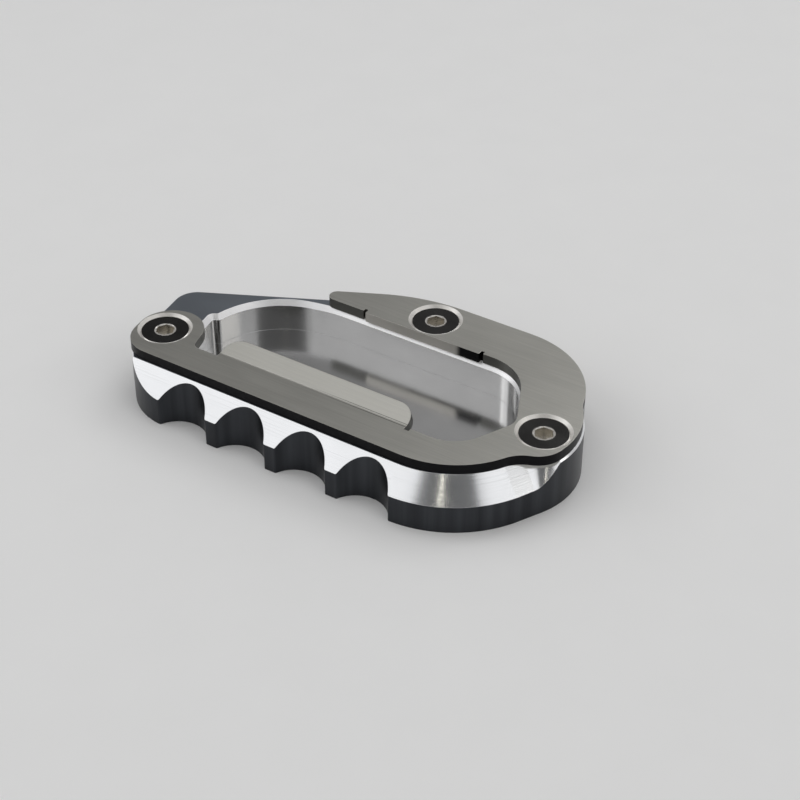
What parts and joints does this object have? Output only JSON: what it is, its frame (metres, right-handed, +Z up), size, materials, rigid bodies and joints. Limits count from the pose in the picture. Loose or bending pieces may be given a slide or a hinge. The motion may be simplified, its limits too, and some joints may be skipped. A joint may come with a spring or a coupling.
{
  "type": "kickstand pad",
  "caption": "Side-stand foot pad: scalloped, bevelled block with a pocket for the stand's foot, and a thin plate with a bent lip held by countersunk screws.",
  "frame": {"origin": "on the ground, in the middle of the base's length and width", "axes": "+X along the length towards the rounded end, +Y from the scalloped front to the back, +Z up"},
  "size_m": [0.1108, 0.061, 0.0164],
  "materials": {
    "milled_aluminium": "milled top, bevel and pocket; dark satin outer walls",
    "brushed_plate": "brushed",
    "screw_steel": "polished"
  },
  "bodies": {
    "root": {"base": "milled_aluminium", "top_plate": "brushed_plate", "screw_left": "screw_steel", "screw_right": "screw_steel", "screw_back": "screw_steel"}
  },
  "joints": []
}
